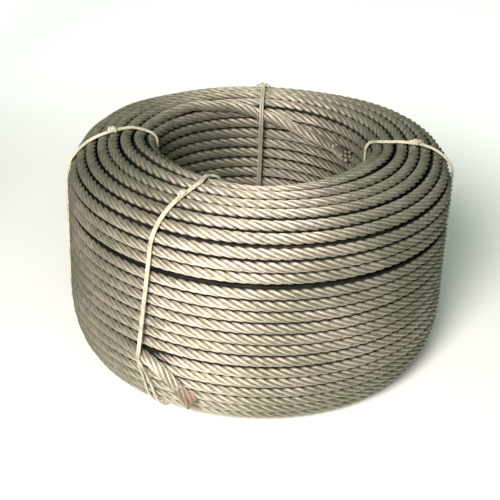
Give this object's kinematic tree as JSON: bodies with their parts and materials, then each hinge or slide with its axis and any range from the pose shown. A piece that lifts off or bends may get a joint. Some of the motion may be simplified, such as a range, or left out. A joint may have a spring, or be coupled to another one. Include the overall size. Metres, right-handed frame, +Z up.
{
  "type": "coil of wire rope",
  "caption": "Coil of galvanised stranded wire rope with an open bore and two free rope ends, held by knotted twine ties.",
  "frame": {"origin": "centre of the coil's flat underside, on the floor it stands on", "axes": "+Z up along the coil's bore, -Y towards the side with the outer rope end"},
  "size_m": [0.3447, 0.3424, 0.2014],
  "materials": {
    "galvanised_steel": "galvanised, lightly oiled, satin",
    "twine": "matte, laid twine"
  },
  "bodies": {
    "root": {"wire_rope": "galvanised_steel", "tie_left": "twine", "tie_front": "twine", "tie_back": "twine", "tie_right": "twine"}
  },
  "joints": []
}
